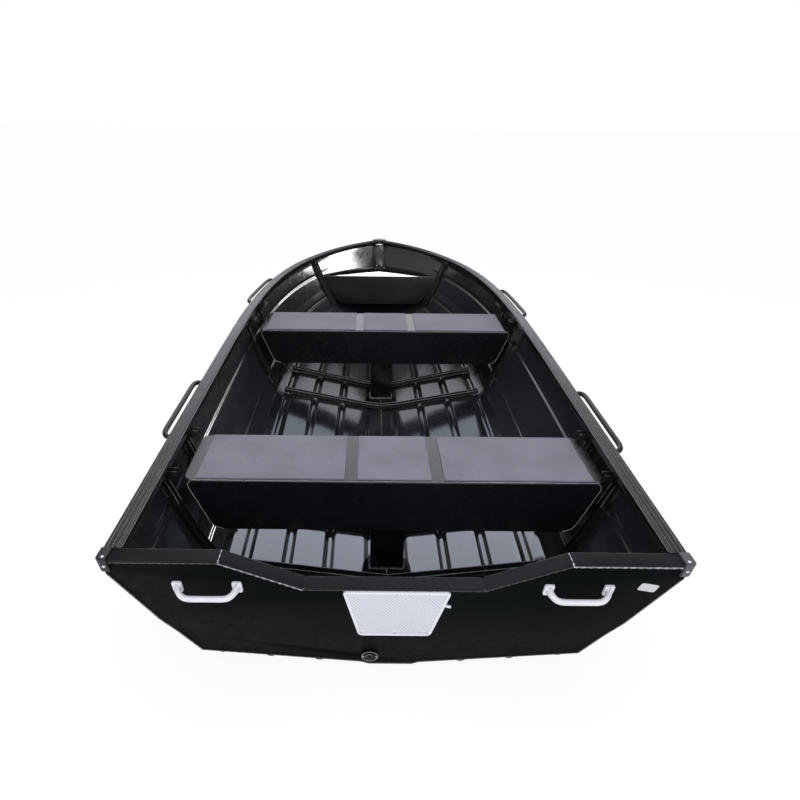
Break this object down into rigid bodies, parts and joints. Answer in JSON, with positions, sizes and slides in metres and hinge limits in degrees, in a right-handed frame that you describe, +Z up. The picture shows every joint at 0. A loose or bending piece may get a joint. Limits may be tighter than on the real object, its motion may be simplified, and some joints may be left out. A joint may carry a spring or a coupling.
{
  "type": "open aluminium boat",
  "caption": "Open vee-bow aluminium boat with box seats and foam pads, ribbed gunwales, bail handles, bow deck and a stepped transom with a motor pad.",
  "frame": {"origin": "centre of the length and beam, at the lowest point of the keel, on the ground", "axes": "+Y towards the bow, +X to starboard, +Z up"},
  "size_m": [1.5586, 3.5914, 0.6351],
  "materials": {
    "hull_paint": "semi-gloss black paint on sheet aluminium",
    "deck_paint": "high gloss black paint",
    "trim_paint": "satin dark grey paint on extruded aluminium",
    "bar_paint": "semi-gloss black paint on round bar",
    "white_casting": "satin white paint on cast aluminium",
    "white_plate": "satin white moulded plate",
    "foam": "matte closed-cell foam",
    "cap_plastic": "matte dark grey moulding",
    "drain_plastic": "satin black moulding",
    "plug_rubber": "matte rubber"
  },
  "bodies": {
    "root": {"bow_cap": "trim_paint", "bow_deck": "deck_paint", "drain_flange": "drain_plastic", "drain_plug": "plug_rubber", "floor_frame_aft_seat_aft": "hull_paint", "floor_frame_aft_seat_fore": "hull_paint", "floor_frame_fore_seat_aft": "hull_paint", "floor_frame_fore_seat_fore": "hull_paint", "gunwale_end_cap_port": "cap_plastic", "gunwale_end_cap_starboard": "cap_plastic", "gunwale_port": "trim_paint", "gunwale_starboard": "trim_paint", "hull_bottom_port": "hull_paint", "hull_bottom_starboard": "hull_paint", "hull_side_port": "hull_paint", "hull_side_starboard": "hull_paint", "inner_stem": "hull_paint", "motor_pad": "white_plate", "pad_aft_middle": "foam", "pad_aft_port": "foam", "pad_aft_starboard": "foam", "pad_fore_middle": "foam", "pad_fore_port": "foam", "pad_fore_starboard": "foam", "rib_aft_seat_aft_port": "hull_paint", "rib_aft_seat_aft_starboard": "hull_paint", "rib_aft_seat_fore_port": "hull_paint", "rib_aft_seat_fore_starboard": "hull_paint", "rib_bow_port": "hull_paint", "rib_bow_starboard": "hull_paint", "rib_fore_seat_aft_port": "hull_paint", "rib_fore_seat_aft_starboard": "hull_paint", "rib_fore_seat_fore_port": "hull_paint", "rib_fore_seat_fore_starboard": "hull_paint", "seat_aft": "hull_paint", "seat_fore": "hull_paint", "seat_post_aft": "hull_paint", "seat_post_fore": "hull_paint", "side_handle_aft_port": "bar_paint", "side_handle_aft_starboard": "bar_paint", "side_handle_fore_port": "bar_paint", "side_handle_fore_starboard": "bar_paint", "stem_bar": "hull_paint", "transom_cap": "trim_paint", "transom_handle_port": "white_casting", "transom_handle_starboard": "white_casting", "transom_plate": "hull_paint"}
  },
  "joints": []
}
